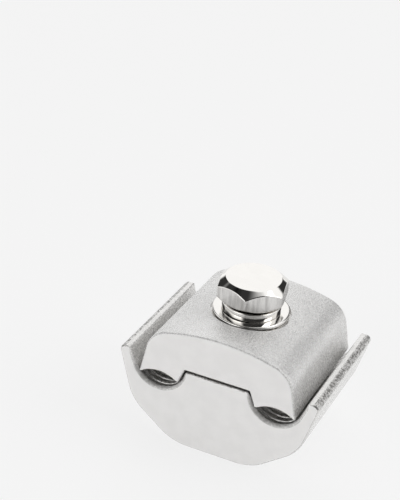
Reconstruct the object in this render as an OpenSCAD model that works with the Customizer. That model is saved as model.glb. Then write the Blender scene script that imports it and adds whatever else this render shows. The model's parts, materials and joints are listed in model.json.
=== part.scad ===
// Parallel groove connector: two plated jaws drawn together by one hexagon bolt.
// Millimetres. X runs across the two grooves, Y along the conductors, Z up the bolt.
// The lower jaw stands on its flat underside at Z = 0, centred on the bolt.

/* [Lower jaw] */
// Length of both jaws along the conductors
jaw_l = 38.7; // [24:0.1:60]
// Width over the wing tops, before their edges are rounded
jaw_w = 56.2; // [55.2:0.1:62]
// Height of the wing tops above the underside
jaw_h = 25; // [24.2:0.1:27]
// Width of the flat underside, before its corners are rounded
foot_w = 22.8; // [19:0.1:27]
// Width across the knees where the flanks turn up into the wings
knee_w = 47.5; // [46:0.1:50]
// Height of the knees above the underside
knee_z = 9.5; // [7.5:0.1:10.2]
// Rounding of the underside's two long corners
foot_r = 13.5; // [6:0.5:14]
// Rounding of the knees
knee_r = 13; // [6:0.5:14]
// Rounding of the wings' outer top edges
wing_r = 1.4; // [0.4:0.1:1.6]
// Rounding of the small profile edges on both jaws
edge_r = 0.5; // [0.2:0.05:0.6]

/* [Grooves] */
// Distance between the axes of the two grooves
groove_pitch = 32.6; // [31.5:0.1:33.5]
// Radius of the groove floors in the lower jaw
groove_r = 7.15; // [6.95:0.05:7.6]
// Metal under the lowest line of the grooves
groove_floor = 15.65; // [13:0.05:16.5]
// Lean of the groove walls from upright, in degrees
groove_lean = 22; // [16:0.5:26]
// Height of the ridge above the groove floors
ridge_h = 6.95; // [6.3:0.05:8]
// Spacing of the gripping teeth that run across the grooves
tooth_pitch = 2; // [1.5:0.1:4]
// Depth of the cuts between the teeth
tooth_depth = 0.4; // [0.2:0.05:0.6]
// Flare of the lower grooves where they run out at the jaw's ends
flare = 0.5; // [0.3:0.05:0.9]

/* [Keeper] */
// Width of the keeper over its lower outer corners
keeper_w = 43.8; // [42.6:0.1:44.2]
// Height of the keeper's crown above the roof of its notch
crown_h = 11.55; // [11:0.05:14]
// Radius of the arched top
crown_r = 54; // [44:1:80]
// Rounding of the two shoulders
shoulder_r = 7.5; // [4:0.5:9]
// Lean of the keeper's sides from upright, in degrees
side_lean = 11; // [4:0.5:14]
// Depth of the notch that fits over the ridge
notch_d = 4.2; // [3:0.1:4.4]
// Clearance all round between ridge and notch with the connector closed
notch_gap = 0.5; // [0.3:0.05:0.8]
// Radius of the shallow grooves in the keeper
roof_r = 8.6; // [8:0.1:9.6]
// Height of the shallow grooves above the keeper's feet
roof_h = 1.5; // [1:0.05:1.8]
// Diameter of the flat seat cut into the crown for the washer
seat_d = 21.2; // [19:0.1:24]
// Depth of that seat below the crown
seat_depth = 1.35; // [0.3:0.05:1.5]
// Diameter of the keeper's clearance hole
hole_d = 11; // [10.6:0.1:12]

/* [Bolt and washers] */
// Nominal thread size, which is also the tapped hole's full diameter
thread_d = 10; // [9.9:0.01:10.1]
// Play on the diameter between the bolt's thread and the tapped hole
thread_play = 0.15; // [0.06:0.01:0.18]
// Length of the bolt under its head
bolt_l = 35; // [28:1:37]
// Width of the hexagon across its flats
head_af = 17; // [16:0.1:18]
// Height of the hexagon head
head_h = 6.4; // [5.5:0.1:8]
// Bevel on the head's corners, in degrees from the level
head_bevel = 39; // [25:1:45]
// Turn of the head about its axis, in degrees
head_turn = 41.4; // [0:0.1:60]
// Play on the diameter between the flat washer and its seat
seat_play = 1; // [0.4:0.1:1.5]
// Thickness of the flat washer
flat_t = 1.6; // [1.2:0.1:2.5]
// Inside diameter of the flat washer
flat_bore = 10.5; // [10.3:0.05:11]
// Outside diameter of the spring washer
spring_d = 15.6; // [14.5:0.1:16.5]
// Inside diameter of the spring washer
spring_bore = 10.4; // [10.3:0.05:10.8]
// Thickness of the spring washer's wire
spring_t = 2.1; // [1.6:0.1:2.6]
// Rise of the spring washer's upper cut end over its lower one
spring_rise = 0.65; // [0.4:0.05:2]
// Angle at which the spring washer is cut through
spring_cut = 145; // [0:1:359]
// Free height left between the spring washer and the head
head_gap = 0.05; // [0.02:0.01:0.2]

/* [Hidden] */
$fn = 96;
// Overshoot of every cutter past the face that it cuts
past = 1;
// Roundings stand proud of a true tangent by this factor, so that they cross the faces they join
proud = 1.002;
// Axis of each lower groove
groove_x = groove_pitch / 2;
groove_z = groove_floor + groove_r;
// Where a groove's floor meets its walls, from the groove's axis
wall_dx = groove_r / proud * cos(groove_lean);
wall_dz = groove_r / proud * sin(groove_lean);
// Ridge between the grooves, and the notch that stands clear of it
ridge_z = groove_floor + ridge_h;
ridge_x = groove_x - wall_dx - (ridge_z - groove_z + wall_dz) * tan(groove_lean);
notch_z = ridge_z + notch_gap;
notch_x = ridge_x + notch_gap * (1 / cos(groove_lean) - tan(groove_lean));
// Keeper: its feet, crown, sides and the axes of its shallow grooves
feet_z = notch_z - notch_d;
feet_x = notch_x + notch_d * tan(groove_lean);
crown_z = notch_z + crown_h;
roof_z = feet_z + roof_h - roof_r;
roof_dx = sqrt(roof_r * roof_r - (feet_z - roof_z) * (feet_z - roof_z));
side_x = keeper_w / 2;
// Centre of a shoulder: one rounding inside the arch, and one inside the leaning side
shoulder_reach = crown_r - shoulder_r;
side_offset = side_x * cos(side_lean) + (feet_z - crown_z + crown_r) * sin(side_lean) - shoulder_r;
shoulder_a = acos(side_offset / shoulder_reach) + side_lean;
shoulder_x = shoulder_reach * cos(shoulder_a);
shoulder_z = crown_z - crown_r + shoulder_reach * sin(shoulder_a);
// Outside diameter of the flat washer, and the levels of the washer stack
flat_d = seat_d - seat_play;
seat_z = crown_z - seat_depth;
flat_z = seat_z + flat_t;
head_z = flat_z + spring_t + spring_rise + head_gap;
// Bolt
head_r = head_af / 2 / cos(30);
face_r = head_af * 0.453;
shank_r = (thread_d - thread_play) / 2;
// Arcs over which the lower grooves and the keeper's grooves are toothed, in degrees
floor_teeth = 100;
roof_teeth = 52;
// Countersink at each mouth of the tapped hole, and the bevel on the bolt's tip
mouth = 0.8;

// Direction from one point to another
function along(a, b) = (b - a) / norm(b - a);
// Half the corner angle at b, between its neighbours a and c
function half(a, b, c) = acos(along(b, a) * along(b, c)) / 2;

// What a rounding of radius r takes off the corner b, between its neighbours a and c
module rounding(a, b, c, r) {
  middle = b + along([0, 0], along(b, a) + along(b, c)) * r / sin(half(a, b, c));
  reach = r / tan(half(a, b, c));
  to_a = b + along(b, a) * reach - middle;
  to_c = b + along(b, c) * reach - middle;
  difference() {
    polygon([middle, middle + 1.5 * to_a, b + 0.5 * (b - middle), middle + 1.5 * to_c]);
    translate(middle) circle(r * proud);
  }
}

// A shape and its mirror image
module both_sides() {
  children();
  mirror([1, 0, 0]) children();
}

// A section drawn in X and Z, run along the whole jaw
module jaw_length() {
  rotate([90, 0, 0]) linear_extrude(jaw_l, center = true) children();
}

// Open space of one groove in the lower jaw: a round floor with leaning walls
module groove_section() {
  top = jaw_h + past;
  top_dx = wall_dx + (top - groove_z + wall_dz) * tan(groove_lean);
  translate([groove_x, groove_z]) circle(groove_r);
  polygon([
    [groove_x - wall_dx, groove_z - wall_dz],
    [groove_x + wall_dx, groove_z - wall_dz],
    [groove_x + top_dx, top],
    [groove_x - top_dx, top]
  ]);
}

// Rings of cuts round a groove's axis, which leave teeth standing on its wall
module teeth(r, middle_a, span_a) {
  count = floor((jaw_l - 2 * flare) / tooth_pitch);
  inner = r - 3 * tooth_depth;
  rise = 4 * tooth_depth;
  rotate([90, 0, 0]) rotate([0, 0, middle_a - span_a / 2]) rotate_extrude(angle = span_a)
    for (i = [0 : count - 1])
      translate([inner, (i - (count - 1) / 2) * tooth_pitch])
        polygon([[0, -rise * 0.7], [rise, 0], [0, rise * 0.7]]);
}

// Run-out of one groove at the jaw's far end: a cone round its floor and a bevel up each wall
module groove_flare() {
  translate([groove_x, jaw_l / 2, groove_z]) {
    translate([0, past, 0]) rotate([90, 0, 0])
      cylinder(r1 = groove_r + flare + past, r2 = groove_r - past, h = flare + 2 * past);
    both_sides() translate([wall_dx, 0, -wall_dz]) rotate([0, groove_lean, 0]) linear_extrude(jaw_h)
      polygon([[-past, past], [flare + past, past], [-past, -flare - past]]);
  }
}

module lower_section() {
  foot = [foot_w / 2, 0];
  knee = [knee_w / 2, knee_z];
  wing = [jaw_w / 2, jaw_h];
  lip = [groove_x + wall_dx + (jaw_h - groove_z + wall_dz) * tan(groove_lean), jaw_h];
  floor_edge = [groove_x + wall_dx, groove_z - wall_dz];
  crest = [ridge_x, ridge_z];
  crest_foot = [groove_x - wall_dx, groove_z - wall_dz];
  difference() {
    polygon([[-foot.x, 0], foot, knee, wing, [-wing.x, jaw_h], [-knee.x, knee_z]]);
    translate([-groove_x, ridge_z]) square([groove_pitch, jaw_h]);
    both_sides() {
      groove_section();
      rounding([0, 0], foot, knee, foot_r);
      rounding(foot, knee, wing, knee_r);
      rounding(knee, wing, lip, wing_r);
      rounding(wing, lip, floor_edge, edge_r);
      rounding(crest_foot, crest, [0, ridge_z], edge_r);
    }
  }
}

module lower_jaw() {
  color("silver") difference() {
    jaw_length() lower_section();
    both_sides() translate([groove_x, 0, groove_z]) teeth(groove_r, -90, floor_teeth);
    both_sides() {
      groove_flare();
      mirror([0, 1, 0]) groove_flare();
    }
    translate([0, 0, -past]) cylinder(d = thread_d, h = ridge_z + 2 * past);
    translate([0, 0, -past]) cylinder(r1 = shank_r + mouth + past, r2 = shank_r, h = mouth + past);
    translate([0, 0, ridge_z - mouth])
      cylinder(r1 = shank_r, r2 = shank_r + mouth + past, h = mouth + past);
  }
}

module keeper_section() {
  lean = tan(side_lean);
  crest = crown_z + past;
  corner = [side_x, feet_z];
  shoulder = [shoulder_x, shoulder_z];
  beyond = 2 * shoulder_r;
  notch = [notch_x, notch_z];
  foot = [feet_x, feet_z];
  toe = [groove_x - roof_dx, feet_z];
  up_roof = [feet_z - roof_z, roof_dx];
  heel = [groove_x + roof_dx, feet_z];
  difference() {
    intersection() {
      translate([0, crown_z - crown_r]) circle(crown_r);
      polygon([
        [-side_x, feet_z],
        corner,
        [side_x - (crest - feet_z) * lean, crest],
        [(crest - feet_z) * lean - side_x, crest]
      ]);
    }
    polygon([
      [-notch_x, notch_z],
      notch,
      [feet_x + past * tan(groove_lean), feet_z - past],
      [-feet_x - past * tan(groove_lean), feet_z - past]
    ]);
    both_sides() {
      translate([groove_x, roof_z]) circle(roof_r);
      rounding(notch, foot, toe, edge_r);
      rounding(foot, toe, toe + up_roof, edge_r);
      rounding(heel, corner, corner + [-lean, 1], edge_r / 2);
      difference() {
        polygon([
          shoulder,
          shoulder + beyond * [cos(side_lean), sin(side_lean)],
          shoulder + beyond * [1, 1],
          shoulder + beyond * [cos(shoulder_a), sin(shoulder_a)]
        ]);
        translate(shoulder) circle(shoulder_r * proud);
      }
    }
  }
}

module keeper() {
  color("silver") difference() {
    jaw_length() keeper_section();
    both_sides() translate([groove_x, 0, roof_z]) teeth(roof_r, 90, roof_teeth);
    translate([0, 0, feet_z]) cylinder(d = hole_d, h = crown_z);
    translate([0, 0, seat_z]) cylinder(d = seat_d, h = crown_h);
  }
}

module flat_washer() {
  bevel = flat_t / 5;
  color("gainsboro") translate([0, 0, seat_z]) rotate_extrude()
    polygon([
      [flat_bore / 2, 0],
      [flat_d / 2, 0],
      [flat_d / 2, flat_t - bevel],
      [flat_d / 2 - bevel, flat_t],
      [flat_bore / 2, flat_t]
    ]);
}

// One turn that falls away anticlockwise from the end that springs up, so that the ends bite when
// the bolt backs off
module spring_washer() {
  steps = 60;
  turn = 352;
  low = spring_bore / 2;
  high = spring_d / 2;
  points = [
    for (i = [0 : steps])
      for (c = [[low, 0], [high, 0], [high, spring_t], [low, spring_t]])
        let (a = spring_cut + (360 - turn) / 2 + turn * i / steps)
          [c.x * cos(a), c.x * sin(a), flat_z + spring_rise * pow(1 - i / steps, 3) + c.y]
  ];
  sides = [
    for (i = [0 : steps - 1])
      for (k = [0 : 3])
        [4 * i + k, 4 * i + (k + 1) % 4, 4 * i + 4 + (k + 1) % 4, 4 * i + 4 + k]
  ];
  ends = [[3, 2, 1, 0], [4 * steps, 4 * steps + 1, 4 * steps + 2, 4 * steps + 3]];
  color("gainsboro") polyhedron(points, concat(sides, ends));
}

// Revolved blank of the head: the bevels that it leaves on the hexagon's corners, above and below
module head_blank() {
  out = head_r + past;
  fall = (out - face_r) * tan(head_bevel);
  rotate_extrude() polygon([
    [0, 0],
    [face_r, 0],
    [out, fall],
    [out, head_h - fall],
    [face_r, head_h],
    [0, head_h]
  ]);
}

module hex_bolt() {
  color("gainsboro") translate([0, 0, head_z]) {
    intersection() {
      rotate(head_turn) cylinder(r = head_r, h = head_h, $fn = 6);
      head_blank();
    }
    translate([0, 0, mouth - bolt_l]) cylinder(r = shank_r, h = bolt_l - mouth + past);
    translate([0, 0, -bolt_l]) cylinder(r1 = shank_r - mouth, r2 = shank_r, h = mouth);
  }
}

lower_jaw();
keeper();
flat_washer();
spring_washer();
hex_bolt();
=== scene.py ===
"""Looks of the parallel connector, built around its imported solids: metres, in the frame of the CAD model."""

import json
import math

import bmesh
import bpy
import numpy as np
from mathutils import Matrix, Vector


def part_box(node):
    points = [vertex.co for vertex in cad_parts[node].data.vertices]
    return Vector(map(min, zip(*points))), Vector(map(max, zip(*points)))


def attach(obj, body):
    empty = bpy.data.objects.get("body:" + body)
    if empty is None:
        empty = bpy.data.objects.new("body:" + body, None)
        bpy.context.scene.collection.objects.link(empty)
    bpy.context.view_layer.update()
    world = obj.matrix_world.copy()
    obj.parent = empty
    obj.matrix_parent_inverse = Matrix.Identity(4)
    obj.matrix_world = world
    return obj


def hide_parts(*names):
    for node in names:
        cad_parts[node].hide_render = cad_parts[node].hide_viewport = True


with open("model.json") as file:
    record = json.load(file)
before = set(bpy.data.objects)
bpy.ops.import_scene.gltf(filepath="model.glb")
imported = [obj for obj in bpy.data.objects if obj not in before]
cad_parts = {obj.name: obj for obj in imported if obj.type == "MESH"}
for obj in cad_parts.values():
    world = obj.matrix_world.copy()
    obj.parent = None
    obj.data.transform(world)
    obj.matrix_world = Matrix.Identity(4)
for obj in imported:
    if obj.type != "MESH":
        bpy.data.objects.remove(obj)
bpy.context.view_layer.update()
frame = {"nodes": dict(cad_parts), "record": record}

MM = 0.001

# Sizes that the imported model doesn't state by itself, as in the part's source
TOOTH_PITCH = 2.0 * MM
TOOTH_DEPTH = 0.4 * MM
FLARE = 0.5 * MM
ROOF_R = 8.6 * MM
SEAT_R = 10.6 * MM
KEEPER_HOLE_R = 5.5 * MM
THREAD_R = 5.0 * MM
THREAD_PITCH = 1.5 * MM
THREAD_PLAY = 0.075 * MM
HEAD_ACROSS_FLATS = 17.0 * MM
HEAD_H = 6.4 * MM
HEAD_FACE_R = 7.7 * MM
HEAD_BEVEL = math.radians(39)
FLAT_BORE_R = 5.25 * MM
SPRING_T = 2.1 * MM
SPRING_BORE_R = 5.2 * MM
SPRING_RISE = 0.65 * MM
SPRING_CUT = math.radians(145)
SPRING_TURN = math.radians(352)

# Details that only the looks have: edge radii, the tooth's width and the thread's depth and run-in
JAW_EDGE_R = 0.5 * MM
GROOVE_EDGE_R = 1.0 * MM
FINE_EDGE_R = 0.12 * MM
TOOTH_HALF_WIDTH = 0.28 * MM
THREAD_DEPTH = 0.61 * THREAD_PITCH
THREAD_MOUTH = 0.8 * MM
# Edge radii of the washers' sections: inside below, outside below, outside above and inside above
FLAT_EDGES = [FINE_EDGE_R, FINE_EDGE_R, 0.35 * MM, 0.2 * MM]
SPRING_EDGES = [0.15 * MM, 0.15 * MM, 0.3 * MM, 0.2 * MM]
# Radius of the head's top face, whose bevel is a little wider than in the solids
HEAD_TOP_R = 7.3 * MM

# Half the angle that the teeth take up round a groove's axis, in the lower jaw and in the keeper
LOWER_TEETH_HALF = math.radians(50)
KEEPER_TEETH_HALF = math.radians(26)
# The part of a lower groove painted darker as shade: its reach from the groove's axis, and how steep its sides
# are from there
GROOVE_REACH = 7.9 * MM
GROOVE_SLOPE = 0.45
# Width of the band along the outside of a wing's top whose speckle is painted dark, as the rounding's dark
# reflection
DARK_REFLECTION_BAND = 1.6 * MM

# The photograph: its size in pixels, and the view fitted to it
PHOTO_W, PHOTO_H = 400, 500
FOCAL_PX = 1450.0
VIEW_AZIMUTH = math.radians(23.362)
VIEW_ELEVATION = math.radians(28.792)
VIEW_ROLL = math.radians(4.371)
VIEW_DISTANCE = 383.416 * MM
AIM = Vector((0, 0, 20 * MM))
AIM_PX = (246.508, 355.494)

# Black flags in the tent: the way to each, and the angles in degrees from there at which it is full and gone
FLAGS = [
    ((0.32, 0.88, 0.35), 18, 25),
    ((-0.86, 0.35, 0.37), 11, 22),
    ((-0.67, -0.14, 0.73), 13, 28),
    ((-0.2, -0.32, 0.93), 8, 32),
    ((0.55, -0.68, 0.48), 34, 48),
]
# Light of the tent, of a flag against the tent, and of the background that the camera sees past the floor
TENT_LIGHT = 1.15
FLAG_LIGHT = 0.03
BACKGROUND_LIGHT = 0.93
# The floor: its own tone, the paler one that the camera and bright metal see, and the share of that one
FLOOR_TONE = 0.88
FLOOR_PALE_TONE = 0.98
FLOOR_PALE_SHARE = 0.8

# Places of the materials in the lists of the jaws and of the bolt
SKIN, SAWN, SHADED, DARK_REFLECTION, MOUTH_HIGHLIGHT = range(5)
BRIGHT, BRUSHED_AND_SHADED = range(2)

JAW_SIDE, JAW_END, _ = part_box("lower_jaw")[1]
GROOVE = next(Vector(m["pos_m"]) for m in frame["record"]["mounts"] if m["name"] == "groove_right")


def clean(mesh, nearest):
    """Welds points that are nearer than given, drops faces without area and turns the normals out."""
    work = bmesh.new()
    work.from_mesh(mesh)
    bmesh.ops.remove_doubles(work, verts=work.verts, dist=nearest)
    bmesh.ops.dissolve_degenerate(work, edges=work.edges, dist=nearest)
    bmesh.ops.recalc_face_normals(work, faces=work.faces)
    work.to_mesh(mesh)
    work.free()


def new_piece(name, points, faces):
    """A mesh object from points and faces."""
    mesh = bpy.data.meshes.new(name)
    mesh.from_pydata([tuple(p) for p in points], [], faces)
    clean(mesh, 0.0001 * MM)
    piece = bpy.data.objects.new(name, mesh)
    bpy.context.scene.collection.objects.link(piece)
    return piece


def stack(name, rings):
    """A closed piece from rings of equal length, one behind the other, with both ends filled."""
    rings = np.asarray(rings, float)
    count, n = rings.shape[:2]
    faces = [
        (i * n + j, i * n + (j + 1) % n, (i + 1) * n + (j + 1) % n, (i + 1) * n + j)
        for i in range(count - 1)
        for j in range(n)
    ]
    faces += [tuple(range(n)), tuple(range((count - 1) * n, count * n))]
    return new_piece(name, rings.reshape(-1, 3), faces)


def lathe(name, profile, segments=128):
    """A closed profile of (radius, height) points turned about the Z axis."""
    turns = np.linspace(0, 2 * math.pi, segments, endpoint=False)
    n = len(profile)
    points = [(r * math.cos(a), r * math.sin(a), z) for a in turns for r, z in profile]
    faces = [
        (i * n + j, i * n + (j + 1) % n, (i + 1) % segments * n + (j + 1) % n, (i + 1) % segments * n + j)
        for i in range(segments)
        for j in range(n)
    ]
    return new_piece(name, points, faces)


def carve(piece, tool, operation="DIFFERENCE"):
    """Cuts a tool out of a piece, or joins it on, and removes the tool."""
    step = piece.modifiers.new("carve", "BOOLEAN")
    step.object, step.operation, step.solver = tool, operation, "EXACT"
    done = bpy.data.meshes.new_from_object(piece.evaluated_get(bpy.context.evaluated_depsgraph_get()))
    piece.modifiers.clear()
    clean(done, 0.004 * MM)
    plain, piece.data = piece.data, done
    done.name = plain.name
    bpy.data.meshes.remove(plain)
    bpy.data.objects.remove(tool)


def smooth(piece, angle):
    """Shades a piece smooth, apart from edges sharper than the angle."""
    piece.data.shade_smooth()
    piece.data.set_sharp_from_angle(angle=math.radians(angle))


def rounded(corners, radii, steps=5):
    """A closed (u, v) polygon with each corner rounded to its own radius."""
    out = []
    for i, (corner, radius) in enumerate(zip(corners, radii)):
        here = np.array(corner, float)
        before = np.array(corners[i - 1], float) - here
        after = np.array(corners[(i + 1) % len(corners)], float) - here
        before /= np.hypot(*before)
        after /= np.hypot(*after)
        half = math.acos(np.clip(before @ after, -1, 1)) / 2
        middle = here + (before + after) / np.hypot(*(before + after)) * radius / math.sin(half)
        start = here + before * radius / math.tan(half) - middle
        end = here + after * radius / math.tan(half) - middle
        first = math.atan2(start[1], start[0])
        sweep = (math.atan2(end[1], end[0]) - first + math.pi) % (2 * math.pi) - math.pi
        turns = first + sweep * np.linspace(0, 1, steps + 1)
        out += [tuple(middle + radius * np.array((math.cos(a), math.sin(a)))) for a in turns]
    return out


def slice_node(node, y):
    """The outline in X and Z where the upright plane at y cuts a CAD node, anticlockwise."""
    mesh = frame["nodes"][node].data
    mesh.calc_loop_triangles()
    links = {}
    for triangle in mesh.loop_triangles:
        corners = [tuple(mesh.vertices[i].co) for i in triangle.vertices]
        ends = []
        for k in range(3):
            a, b = sorted((corners[k], corners[k - 1]))
            if (a[1] > y) != (b[1] > y):
                share = (y - a[1]) / (b[1] - a[1])
                ends.append((a[0] + share * (b[0] - a[0]), a[2] + share * (b[2] - a[2])))
        if len(ends) == 2 and ends[0] != ends[1]:
            for p, q in (ends, ends[::-1]):
                links.setdefault(p, []).append(q)
    loop = [min(links)]
    last = links[loop[0]][0]
    while True:
        step = next(q for q in links[loop[-1]] if q != last)
        if step == loop[0]:
            break
        last = loop[-1]
        loop.append(step)
    loop = np.array(loop)
    x, z = loop.T
    area = (x * np.roll(z, -1) - np.roll(x, -1) * z).sum()
    return loop if area > 0 else loop[::-1]


def evened(loop, spacing=0.08 * MM, passes=8, bend=math.radians(4), reach=1.2 * MM):
    """A loop with its facets smoothed, its points close together on curves and far apart on flats.

    The second result is the loop's curvature at each point, positive where it bulges.
    """
    closed = np.vstack([loop, loop[:1]])
    run = np.concatenate([[0], np.cumsum(np.hypot(*np.diff(closed, axis=0).T))])
    at = np.linspace(0, run[-1], round(run[-1] / spacing), endpoint=False)
    fine = np.stack([np.interp(at, run, closed[:, k]) for k in (0, 1)], 1)
    for _ in range(passes):
        fine = (np.roll(fine, 1, 0) + 2 * fine + np.roll(fine, -1, 0)) / 4
    steps = np.roll(fine, -1, 0) - fine
    heading = np.arctan2(steps[:, 1], steps[:, 0])
    turn = (heading - np.roll(heading, 1) + math.pi) % (2 * math.pi) - math.pi
    kept, turned, gone = [], bend, reach
    for i, (angle, length) in enumerate(zip(np.abs(turn), np.hypot(*steps.T))):
        turned += angle
        if turned >= bend or gone >= reach:
            kept.append(i)
            turned = gone = 0
        gone += length
    curvature = sum(np.roll(turn, k) for k in (-1, 0, 1)) / (3 * spacing)
    return fine[kept], curvature[kept]


def outward(loop):
    """For each point of a loop, the way out at right angles, stretched to keep offsets even."""
    steps = np.roll(loop, -1, 0) - loop
    after = np.stack([steps[:, 1], -steps[:, 0]], 1) / np.hypot(*steps.T)[:, None]
    before = np.roll(after, 1, 0)
    return (before + after) / (1 + (before * after).sum(1))[:, None]


def eased(loop, sizes, limits):
    """Sizes along a loop, held under the limits and falling off slowly on the way to each of them."""
    lengths = np.hypot(*(np.roll(loop, -1, 0) - loop).T)
    place = np.cumsum(lengths) - lengths
    apart = np.abs(place[:, None] - place[None, :])
    apart = np.minimum(apart, lengths.sum() - apart)
    return np.minimum(sizes, (limits[None, :] + apart / 2).min(1))


def jaw(node, axis_z, middle, half, flared):
    """One jaw: its CAD outline run along the conductors, with rounded ends and teeth across both grooves.

    The teeth run round an axis at the height axis_z, over the angles within half of the middle one.
    """
    low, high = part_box(node)
    end = high.y
    count = math.floor((2 * end - 2 * FLARE) / TOOTH_PITCH)
    loop, curvature = evened(slice_node(node, low.y + FLARE + TOOTH_PITCH / 4))
    out = outward(loop)

    from_groove = np.stack([np.abs(loop[:, 0]) - GROOVE.x, loop[:, 1] - axis_z], 1)
    distance = np.hypot(*from_groove.T)
    angle = np.arctan2(from_groove[:, 1], from_groove[:, 0])
    off_middle = np.abs((angle - middle + math.pi) % (2 * math.pi) - math.pi)
    wall = distance[off_middle < half / 4].min()
    on_wall = np.abs(distance - wall) < 0.1 * MM
    run_out = math.radians(6)
    toothed = np.clip((half - off_middle) / run_out, 0, 1) * on_wall
    radial = from_groove / distance[:, None] * np.stack([np.sign(loop[:, 0]), np.ones(len(loop))], 1)

    rim = np.full(len(loop), JAW_EDGE_R)
    if flared:
        facing = -(out * radial).sum(1)
        rim[facing > 0.5] = GROOVE_EDGE_R
    # A rim stays well under the outline's own radius, so that the end inside it doesn't fold over
    rim = eased(loop, rim, 0.45 / np.maximum(curvature, 1))

    def ring(y, offset):
        flat = loop + offset
        return np.stack([flat[:, 0], np.broadcast_to(y, len(loop)), flat[:, 1]], 1)

    # The first ring lies on the flat end, and keeps the shading of the rounded rim off it
    rings = [ring(-end, -out * 1.15 * rim[:, None])]
    for slant in np.radians(np.linspace(0, 90, 7)):
        inset = rim * (1 - math.sin(slant))
        rings.append(ring(-end + rim * (1 - math.cos(slant)), -out * inset[:, None]))
    # A tooth's cut: places along Y in half widths, and the share of the full depth there
    tooth = [(-1.2, 0), (-0.85, 0.15), (-0.1, 1), (0.1, 1), (0.85, 0.15), (1.2, 0)]
    half_rings = list(rings)
    for i in range(count):
        for place, depth in tooth:
            y = (i - (count - 1) / 2) * TOOTH_PITCH + place * TOOTH_HALF_WIDTH
            rings.append(ring(y, radial * (toothed * depth * TOOTH_DEPTH)[:, None]))
    rings += [r * (1, -1, 1) for r in reversed(half_rings)]
    return stack(node + "_skin", rings)


def thread(name, low, high, play):
    """A right-hand threaded rod between two heights, thinner than its nominal radius by the play."""
    columns = 64
    crest = THREAD_R - play
    root = crest - THREAD_DEPTH
    # Shares of one pitch, and the radius there
    profile = [(0, root), (0.16, root), (0.46, crest), (0.58, crest), (0.88, root)]
    n = len(profile)
    first = math.floor(low / THREAD_PITCH) - 1
    turns = math.ceil(high / THREAD_PITCH) + 1 - first
    points, faces = [], []
    for i in range(turns * n):
        share, r = profile[i % n]
        for k in range(columns):
            a = 2 * math.pi * k / columns
            z = (first + i // n + share + k / columns) * THREAD_PITCH
            points.append((r * math.cos(a), r * math.sin(a), z))
    for i in range((turns - 1) * n - 1):
        for k in range(columns):
            over = i + n if k == columns - 1 else i
            nxt = (k + 1) % columns
            here, beside = i * columns + k, over * columns + nxt
            faces.append((here, beside, beside + columns, here + columns))
    piece = new_piece(name, points, faces)
    work = bmesh.new()
    work.from_mesh(piece.data)
    for height, way in ((low, -1), (high, 1)):
        parts = work.verts[:] + work.edges[:] + work.faces[:]
        bmesh.ops.bisect_plane(
            work, geom=parts, dist=1e-8, plane_co=(0, 0, height), plane_no=(0, 0, way), clear_outer=True,
        )
    bmesh.ops.delete(work, geom=[v for v in work.verts if not v.link_faces], context="VERTS")
    bmesh.ops.holes_fill(work, edges=[e for e in work.edges if e.is_boundary], sides=0)
    bmesh.ops.recalc_face_normals(work, faces=work.faces)
    work.to_mesh(piece.data)
    work.free()
    return piece


def make_lower_jaw():
    """The lower jaw, with its tapped hole countersunk at both ends."""
    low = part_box("lower_jaw")[0]
    piece = jaw("lower_jaw", GROOVE.z, -math.pi / 2, LOWER_TEETH_HALF, True)
    outline = slice_node("lower_jaw", low.y + FLARE + TOOTH_PITCH / 4)
    ridge = max(z for x, z in outline if abs(x) < GROOVE.x)
    past = MM
    carve(piece, thread("tap", low.z - past, ridge + past, 0))
    wide, depth = THREAD_R + THREAD_MOUTH, 2 * MM
    for face, way in ((low.z, -1), (ridge, 1)):
        outside, inside = face + way * past, face - way * depth
        profile = [(0, outside), (wide + past, outside), (wide - depth, inside), (0, inside)]
        carve(piece, lathe("mouth", profile, 64))
    return piece


def make_keeper():
    """The keeper, with its clearance hole and the flat washer's seat."""
    low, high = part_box("keeper")
    outline = slice_node("keeper", low.y + FLARE + TOOTH_PITCH / 4)
    under = outline[outline[:, 1] < (low.z + high.z) / 2]
    roof = under[np.argmin(np.abs(under[:, 0] - GROOVE.x))][1]
    piece = jaw("keeper", roof - ROOF_R, math.pi / 2, KEEPER_TEETH_HALF, False)
    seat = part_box("flat_washer")[0].z
    below, above = low.z - MM, high.z + MM
    profile = [
        (0, below), (KEEPER_HOLE_R, below), (KEEPER_HOLE_R, seat),
        (SEAT_R, seat), (SEAT_R, above), (0, above),
    ]
    carve(piece, lathe("hole", profile))
    return piece


def make_flat_washer():
    """The flat washer, with rounded edges."""
    low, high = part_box("flat_washer")
    corners = [(FLAT_BORE_R, low.z), (high.x, low.z), (high.x, high.z), (FLAT_BORE_R, high.z)]
    return lathe("flat_washer_ring", rounded(corners, FLAT_EDGES), 192)


def make_spring_washer():
    """The spring washer: a rounded section run along its cut coil, with both ends nipped."""
    low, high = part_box("spring_washer")
    out = max(high.x, high.y)
    corners = [(SPRING_BORE_R, 0), (out, 0), (out, SPRING_T), (SPRING_BORE_R, SPRING_T)]
    section = np.array(rounded(corners, SPRING_EDGES))
    middle = section.mean(0)
    nip = FINE_EDGE_R / out / SPRING_TURN
    rings = []
    for share in [0, nip, *np.linspace(0, 1, 181)[1:-1], 1 - nip, 1]:
        ring = section.copy()
        if share in (0, 1):
            ring -= (ring - middle) / np.hypot(*(ring - middle).T)[:, None] * FINE_EDGE_R
        a = SPRING_CUT + (2 * math.pi - SPRING_TURN) / 2 + SPRING_TURN * share
        rise = low.z + SPRING_RISE * (1 - share) ** 3
        rings.append([(r * math.cos(a), r * math.sin(a), z + rise) for r, z in ring])
    return stack("spring_washer_coil", rings)


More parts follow.
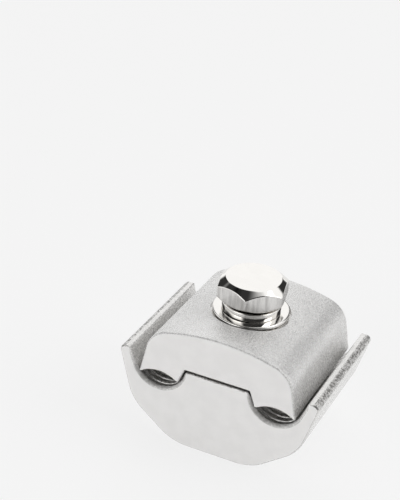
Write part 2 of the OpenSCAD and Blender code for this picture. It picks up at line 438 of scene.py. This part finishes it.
def make_bolt():
    """The bolt: a hexagon head, bevelled above and below, on a threaded shank."""
    low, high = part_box("hex_bolt")
    corners = [v.co for v in frame["nodes"]["hex_bolt"].data.vertices]
    far = max(corners, key=lambda p: math.hypot(p.x, p.y))
    turn = math.atan2(far.y, far.x)
    under = high.z - HEAD_H
    face_r, top_r = HEAD_FACE_R, HEAD_TOP_R
    slope = math.tan(HEAD_BEVEL)
    soft = FINE_EDGE_R
    columns, sharpness = 180, 160
    sections = []
    for k in range(columns):
        a = turn + 2 * math.pi * k / columns
        flats = [math.cos(a - turn - math.radians(30 + 60 * i)) for i in range(6)]
        r = HEAD_ACROSS_FLATS / 2 / sum(max(0, c) ** sharpness for c in flats) ** (1 / sharpness)
        top, bottom = high.z - (r - top_r) * slope, under + (r - face_r) * slope
        profile = [
            (0.3 * top_r, high.z), (top_r - 2 * soft, high.z), (top_r - 0.6 * soft, high.z - 0.05 * soft),
            (top_r + 0.6 * soft, high.z - 0.6 * soft * slope), (top_r + 2 * soft, high.z - 2 * soft * slope),
            (r - 1.5 * soft, top + 1.5 * soft * slope), (r - 0.4 * soft, top + 0.3 * soft),
            (r, top - 0.7 * soft), (r, top - 3 * soft), (r, (top + bottom) / 2),
            (r, bottom + 3 * soft), (r, bottom + 0.7 * soft),
            (r - 0.4 * soft, bottom - 0.3 * soft), (r - 1.5 * soft, bottom - 1.5 * soft * slope),
            (face_r + 2 * soft, under + 2 * soft * slope), (face_r, under), (0.3 * face_r, under),
        ]
        sections.append([(q * math.cos(a), q * math.sin(a), z) for q, z in profile])
    piece = stack("hex_bolt_body", np.array(sections).transpose(1, 0, 2))
    shank = thread("shank", low.z, under + MM, THREAD_PLAY)
    inside, outside, tip = THREAD_R - THREAD_MOUTH, THREAD_R + MM, low.z
    bevel = [(inside, tip), (outside, tip + THREAD_MOUTH + MM), (outside, tip - MM), (inside, tip - MM)]
    carve(shank, lathe("tip", bevel, 64))
    carve(piece, shank, "UNION")
    return piece


def grey(level):
    """A grey of the given level, as a shader's colour."""
    return level, level, level, 1


def add(tree, kind, **values):
    """A shader node with its properties set, and its inputs set or linked."""
    node = tree.nodes.new(kind)
    for key, value in values.items():
        if hasattr(node, key) and key not in node.inputs:
            setattr(node, key, value)
            continue
        socket = node.inputs[key] if key in node.inputs else node.inputs[key.replace("_", " ")]
        if isinstance(value, bpy.types.NodeSocket):
            tree.links.new(value, socket)
        else:
            socket.default_value = value
    return node


def metal(
    name, metallic, tones, roughness, grain, grain_depth, swell, swell_depth, stretch=1, speckled=False,
):
    """A metal whose colour and roughness drift over it, with fine grain on a slow swell.

    Grain and swell are sizes. Stretch draws the grain out upwards into streaks, and a speckled metal
    is dark in the pits of its grain.
    """
    material = bpy.data.materials.new(name)
    material.use_nodes = True
    tree = material.node_tree
    shader = tree.nodes["Principled BSDF"]
    shader.inputs["Metallic"].default_value = metallic
    place = add(tree, "ShaderNodeTexCoord").outputs["Object"]
    drawn = add(tree, "ShaderNodeMapping", Vector=place, Scale=(1, 1, 1 / stretch)).outputs["Vector"]
    fine = add(tree, "ShaderNodeTexNoise", Vector=drawn, Scale=1 / grain, Detail=3, Roughness=0.6)
    slow = add(tree, "ShaderNodeTexNoise", Vector=drawn, Scale=1 / swell, Detail=2, Roughness=0.5)
    tone = add(tree, "ShaderNodeValToRGB", Fac=(fine if speckled else slow).outputs["Fac"])
    for mark, position, colour in zip(tone.color_ramp.elements, (0.35, 0.65), tones):
        mark.position, mark.color = position, (*colour, 1)
    tree.links.new(tone.outputs["Color"], shader.inputs["Base Color"])
    gloss = add(tree, "ShaderNodeMapRange", Value=fine.outputs["Fac"])
    for socket, value in zip(("From Min", "From Max", "To Min", "To Max"), (0.3, 0.7, *roughness)):
        gloss.inputs[socket].default_value = value
    tree.links.new(gloss.outputs["Result"], shader.inputs["Roughness"])
    wave = add(tree, "ShaderNodeBump", Height=slow.outputs["Fac"], Distance=swell_depth, Strength=1.0)
    bump = add(tree, "ShaderNodeBump", Height=fine.outputs["Fac"], Distance=grain_depth, Strength=1.0)
    tree.links.new(wave.outputs["Normal"], bump.inputs["Normal"])
    tree.links.new(bump.outputs["Normal"], shader.inputs["Normal"])
    return material


def is_sawn(face):
    """Whether a face lies on one of a jaw's sawn ends."""
    return abs(face.normal.y) > 0.97 and abs(face.center.y) > JAW_END - 0.05 * MM


def on_lower_jaw(face):
    """Which material a face of the lower jaw has."""
    if is_sawn(face):
        return SAWN
    aside, below = abs(face.center.x) - GROOVE.x, GROOVE.z - face.center.z
    # The outer band of a wing's top gets speckle painted dark, a painted dark reflection
    if below < -MM and abs(face.center.x) > JAW_SIDE - DARK_REFLECTION_BAND and face.normal.z > 0.15:
        return DARK_REFLECTION
    in_groove = math.hypot(aside, below) < GROOVE_REACH and below > aside * GROOVE_SLOPE
    # A groove's rounded lip at the ends gets a paler tone, a painted highlight
    if in_groove and abs(face.center.y) > JAW_END - GROOVE_EDGE_R:
        return MOUTH_HIGHLIGHT
    # The rest of a groove and the ridge under the keeper get painted shade, a darker copy of the plating
    on_ridge = aside < 0 and below < GROOVE_REACH
    return SHADED if in_groove or on_ridge else SKIN


def on_keeper(face):
    """Which material a face of the keeper has. Its underside and the seat get the grooves' painted shade."""
    if is_sawn(face):
        return SAWN
    in_seat = math.hypot(face.center.x, face.center.y) < SEAT_R + 0.01 * MM
    return SHADED if in_seat or face.normal.z < -0.3 else SKIN


def on_bolt(face):
    """Which material a face of the bolt has: bright steel, or the streaked sides of its hexagon, with painted
    dark reflection.
    """
    beside = math.hypot(face.center.x, face.center.y) > THREAD_R + MM
    return BRUSHED_AND_SHADED if beside and abs(face.normal.z) < 0.2 else BRIGHT


def dress(piece, body, node, materials, angle, pick=None):
    """Gives a piece its materials and body, and hides its CAD node. Pick tells which of its materials a face
    has.
    """
    for material in materials:
        piece.data.materials.append(material)
    for face in piece.data.polygons:
        face.material_index = pick(face) if pick else 0
    smooth(piece, angle)
    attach(piece, body)
    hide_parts(node)


def make_camera():
    """The photograph's view, with the fitted point of the part at its fitted pixel."""
    back = Vector((
        math.sin(VIEW_AZIMUTH) * math.cos(VIEW_ELEVATION),
        -math.cos(VIEW_AZIMUTH) * math.cos(VIEW_ELEVATION),
        math.sin(VIEW_ELEVATION),
    ))
    level = Vector((math.cos(VIEW_AZIMUTH), math.sin(VIEW_AZIMUTH), 0))
    upright = back.cross(level)
    right = level * math.cos(VIEW_ROLL) + upright * math.sin(VIEW_ROLL)
    up = upright * math.cos(VIEW_ROLL) - level * math.sin(VIEW_ROLL)
    across = (AIM_PX[0] - PHOTO_W / 2) * VIEW_DISTANCE / FOCAL_PX
    above = (PHOTO_H / 2 - AIM_PX[1]) * VIEW_DISTANCE / FOCAL_PX
    place = AIM + back * VIEW_DISTANCE - right * across - up * above
    data = bpy.data.cameras.new("camera")
    data.sensor_fit = "VERTICAL"
    data.sensor_height = 36
    data.lens = FOCAL_PX * data.sensor_height / PHOTO_H
    data.clip_start = 0.01
    camera = bpy.data.objects.new("camera", data)
    camera.matrix_world = Matrix.Translation(place) @ Matrix((right, up, back)).transposed().to_4x4()
    bpy.context.scene.collection.objects.link(camera)
    bpy.context.scene.camera = camera


def make_floor():
    """A pale floor that shows as the photograph's background and keeps the part's shadow."""
    bpy.ops.mesh.primitive_plane_add(size=6, location=(0, 0, -0.0002))
    floor = bpy.context.object
    floor.name = "floor"
    material = bpy.data.materials.new("floor")
    material.use_nodes = True
    tree = material.node_tree
    tree.nodes.clear()
    path = add(tree, "ShaderNodeLightPath")
    seen = add(tree, "ShaderNodeMath", operation="MAXIMUM")
    tree.links.new(path.outputs["Is Camera Ray"], seen.inputs[0])
    tree.links.new(path.outputs["Is Glossy Ray"], seen.inputs[1])
    share = add(tree, "ShaderNodeMath", operation="MULTIPLY")
    tree.links.new(seen.outputs[0], share.inputs[0])
    share.inputs[1].default_value = FLOOR_PALE_SHARE
    lit = add(tree, "ShaderNodeBsdfDiffuse", Color=grey(FLOOR_TONE))
    pale = add(tree, "ShaderNodeEmission", Color=grey(FLOOR_PALE_TONE), Strength=1.0)
    mix = add(tree, "ShaderNodeMixShader", Fac=share.outputs[0])
    tree.links.new(lit.outputs[0], mix.inputs[1])
    tree.links.new(pale.outputs[0], mix.inputs[2])
    out = add(tree, "ShaderNodeOutputMaterial")
    tree.links.new(mix.outputs[0], out.inputs["Surface"])
    floor.data.materials.append(material)


def make_world():
    """A soft white tent, with black flags that the bright steel mirrors as dark bands."""
    world = bpy.data.worlds.new("tent")
    world.use_nodes = True
    bpy.context.scene.world = world
    tree = world.node_tree
    tree.nodes.clear()
    way = add(tree, "ShaderNodeTexCoord").outputs["Generated"]
    light = None
    for middle, full, gone in FLAGS:
        near = add(tree, "ShaderNodeVectorMath", operation="DOT_PRODUCT")
        tree.links.new(way, near.inputs[0])
        near.inputs[1].default_value = Vector(middle).normalized()
        flag = add(tree, "ShaderNodeMapRange", interpolation_type="SMOOTHSTEP", Value=near.outputs["Value"])
        flag.inputs["From Min"].default_value = math.cos(math.radians(gone))
        flag.inputs["From Max"].default_value = math.cos(math.radians(full))
        flag.inputs["To Min"].default_value = 1
        flag.inputs["To Max"].default_value = FLAG_LIGHT
        if light is None:
            light = flag.outputs["Result"]
            continue
        both = add(tree, "ShaderNodeMath", operation="MULTIPLY")
        tree.links.new(light, both.inputs[0])
        tree.links.new(flag.outputs["Result"], both.inputs[1])
        light = both.outputs[0]
    tent = add(tree, "ShaderNodeBackground", Strength=light, Color=grey(TENT_LIGHT))
    pale = add(tree, "ShaderNodeBackground", Color=grey(BACKGROUND_LIGHT), Strength=1.0)
    mix = add(tree, "ShaderNodeMixShader", Fac=add(tree, "ShaderNodeLightPath").outputs["Is Camera Ray"])
    tree.links.new(tent.outputs[0], mix.inputs[1])
    tree.links.new(pale.outputs[0], mix.inputs[2])
    out = add(tree, "ShaderNodeOutputWorld")
    tree.links.new(mix.outputs[0], out.inputs["Surface"])


def make_lamp(name, way, distance, size, watts):
    """A square softbox that looks at the part from the given way."""
    data = bpy.data.lights.new(name, "AREA")
    data.size = size
    data.energy = watts
    lamp = bpy.data.objects.new(name, data)
    back = Vector(way).normalized()
    lamp.location = AIM + back * distance
    lamp.rotation_euler = back.to_track_quat("Z", "Y").to_euler()
    bpy.context.scene.collection.objects.link(lamp)


grainy = metal(
    "grainy plating", 0.5, ((0.81, 0.80, 0.785), (0.87, 0.86, 0.845)), (0.16, 0.3),
    grain=0.8 * MM, grain_depth=0.24 * MM, swell=2.5 * MM, swell_depth=0.01 * MM,
)
even = metal(
    "even plating", 0.3, ((0.80, 0.795, 0.785), (0.86, 0.855, 0.845)), (0.2, 0.34),
    grain=0.6 * MM, grain_depth=0.18 * MM, swell=2.5 * MM, swell_depth=0.01 * MM,
)
# Painted dark reflection: the speckled grain is the plating's own, its near-black pits paint the dark that the
# wing's outer rounding reflects
painted_dark = metal(
    "worn edge", 0.6, ((0.20, 0.195, 0.185), (0.86, 0.85, 0.835)), (0.2, 0.35),
    grain=0.7 * MM, grain_depth=0.26 * MM, swell=2.5 * MM, swell_depth=0.01 * MM, speckled=True,
)
# Painted highlight: a paler, less metallic tone on the grooves' rounded lips, standing in for the highlight
# along them
mouth = metal(
    "groove mouth highlight", 0.1, ((0.68, 0.67, 0.655), (0.93, 0.92, 0.905)), (0.15, 0.3),
    grain=0.7 * MM, grain_depth=0.12 * MM, swell=2.5 * MM, swell_depth=0.01 * MM, speckled=True,
)
sawn = metal(
    "sawn end", 0.8, ((0.89, 0.882, 0.872), (0.92, 0.912, 0.902)), (0.5, 0.6),
    grain=0.3 * MM, grain_depth=0.008 * MM, swell=4 * MM, swell_depth=0.01 * MM,
)
# Painted shade: a darker copy of the plating, for the grooves, the ridge under the keeper, the keeper's
# underside and the washer's seat
groove = metal(
    "painted shade in grooves, seat and underside", 0.9, ((0.50, 0.49, 0.475), (0.80, 0.79, 0.775)), (0.25, 0.45),
    grain=0.8 * MM, grain_depth=0.14 * MM, swell=0.9 * MM, swell_depth=0.02 * MM,
)
stainless = metal(
    "stainless", 1.0, ((0.805, 0.79, 0.765), (0.82, 0.805, 0.78)), (0.05, 0.09),
    grain=0.25 * MM, grain_depth=0.001 * MM, swell=3 * MM, swell_depth=0.006 * MM,
)
# The hexagon's sides: the streaks are the steel's own, the darker tone is a painted dark reflection
brushed_and_shaded = metal(
    "brushed steel", 1.0, ((0.52, 0.51, 0.50), (0.74, 0.73, 0.715)), (0.12, 0.24),
    grain=0.3 * MM, grain_depth=0.006 * MM, swell=0.9 * MM, swell_depth=0.03 * MM, stretch=12,
)

make_camera()
jaw_materials = [grainy, sawn, groove, painted_dark, mouth]
dress(make_lower_jaw(), "base", "lower_jaw", jaw_materials, 40, on_lower_jaw)
dress(make_keeper(), "clamp", "keeper", [even, sawn, groove], 40, on_keeper)
dress(make_flat_washer(), "clamp", "flat_washer", [stainless], 40)
dress(make_spring_washer(), "clamp", "spring_washer", [stainless], 40)
dress(make_bolt(), "bolt", "hex_bolt", [stainless, brushed_and_shaded], 50, on_bolt)

make_floor()
make_world()
make_lamp("front softbox", (-0.45, -0.85, 0.3), 1.0, 0.5, 0.5)
make_lamp("right softbox", (0.75, 0.05, 0.7), 1.0, 0.5, 1.6)
bpy.context.scene.view_settings.view_transform = "Standard"
